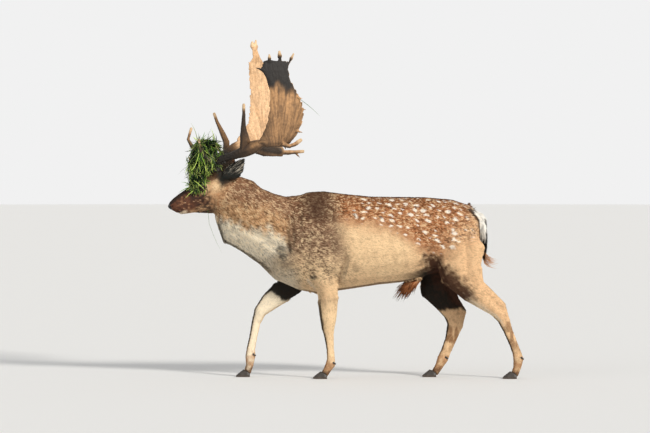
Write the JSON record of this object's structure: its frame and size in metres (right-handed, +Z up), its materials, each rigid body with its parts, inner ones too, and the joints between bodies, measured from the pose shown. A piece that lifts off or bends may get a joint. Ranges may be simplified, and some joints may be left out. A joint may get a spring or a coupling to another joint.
{
  "type": "fallow deer buck",
  "caption": "Life-size still model of a walking fallow buck in spotted coat, with palmate antlers and a wreath of torn grass over its brow.",
  "frame": {"origin": "on the ground, under the middle of the box of the whole part", "axes": "the buck faces -X and walks that way, its left side is -Y, +Z is up; its body is 60 mm to the -Y side of the origin, because its head and antlers are turned"},
  "size_m": [1.7016, 0.5986, 1.6103],
  "materials": {
    "coat": "short lying fur: rufous brown back with pale spots, grey-brown neck, cream flank, belly and throat",
    "leg_coat": "very short pale fawn fur, dark down the front of the fore legs",
    "tail": "long white hair with a black upper side",
    "sheath": "fur with a brush of long reddish-brown hair",
    "horn": "dark worn hoof horn, satin",
    "eye": "wet dark brown eye with a level oval pupil",
    "antler": "hard clean antler, brown with polished pale points, grooved along its length",
    "grass": "torn fresh grass blades in a tangled heap"
  },
  "bodies": {
    "root": {"head": "coat", "neck": "coat", "trunk": "coat", "ear_left": "coat", "ear_right": "coat", "tail": "tail", "sheath": "sheath", "foreleg_left_forearm": "leg_coat", "foreleg_left_cannon": "leg_coat", "foreleg_left_pastern": "leg_coat", "foreleg_right_forearm": "leg_coat", "foreleg_right_cannon": "leg_coat", "foreleg_right_pastern": "leg_coat", "hindleg_left_thigh": "leg_coat", "hindleg_left_cannon": "leg_coat", "hindleg_left_pastern": "leg_coat", "hindleg_right_thigh": "leg_coat", "hindleg_right_cannon": "leg_coat", "hindleg_right_pastern": "leg_coat", "foreleg_left_hoof_inner": "horn", "foreleg_left_hoof_outer": "horn", "foreleg_left_dewclaw_inner": "horn", "foreleg_left_dewclaw_outer": "horn", "foreleg_right_hoof_inner": "horn", "foreleg_right_hoof_outer": "horn", "foreleg_right_dewclaw_inner": "horn", "foreleg_right_dewclaw_outer": "horn", "hindleg_left_hoof_inner": "horn", "hindleg_left_hoof_outer": "horn", "hindleg_left_dewclaw_inner": "horn", "hindleg_left_dewclaw_outer": "horn", "hindleg_right_hoof_inner": "horn", "hindleg_right_hoof_outer": "horn", "hindleg_right_dewclaw_inner": "horn", "hindleg_right_dewclaw_outer": "horn", "eye_left": "eye", "antler_left_palm": "antler", "antler_left_beam": "antler", "antler_left_brow_tine": "antler", "antler_left_trez_tine": "antler", "antler_left_rear_tine": "antler", "eye_right": "eye", "antler_right_palm": "antler", "antler_right_beam": "antler", "antler_right_brow_tine": "antler", "antler_right_trez_tine": "antler", "antler_right_rear_tine": "antler", "grass_wreath": "grass"}
  },
  "joints": []
}
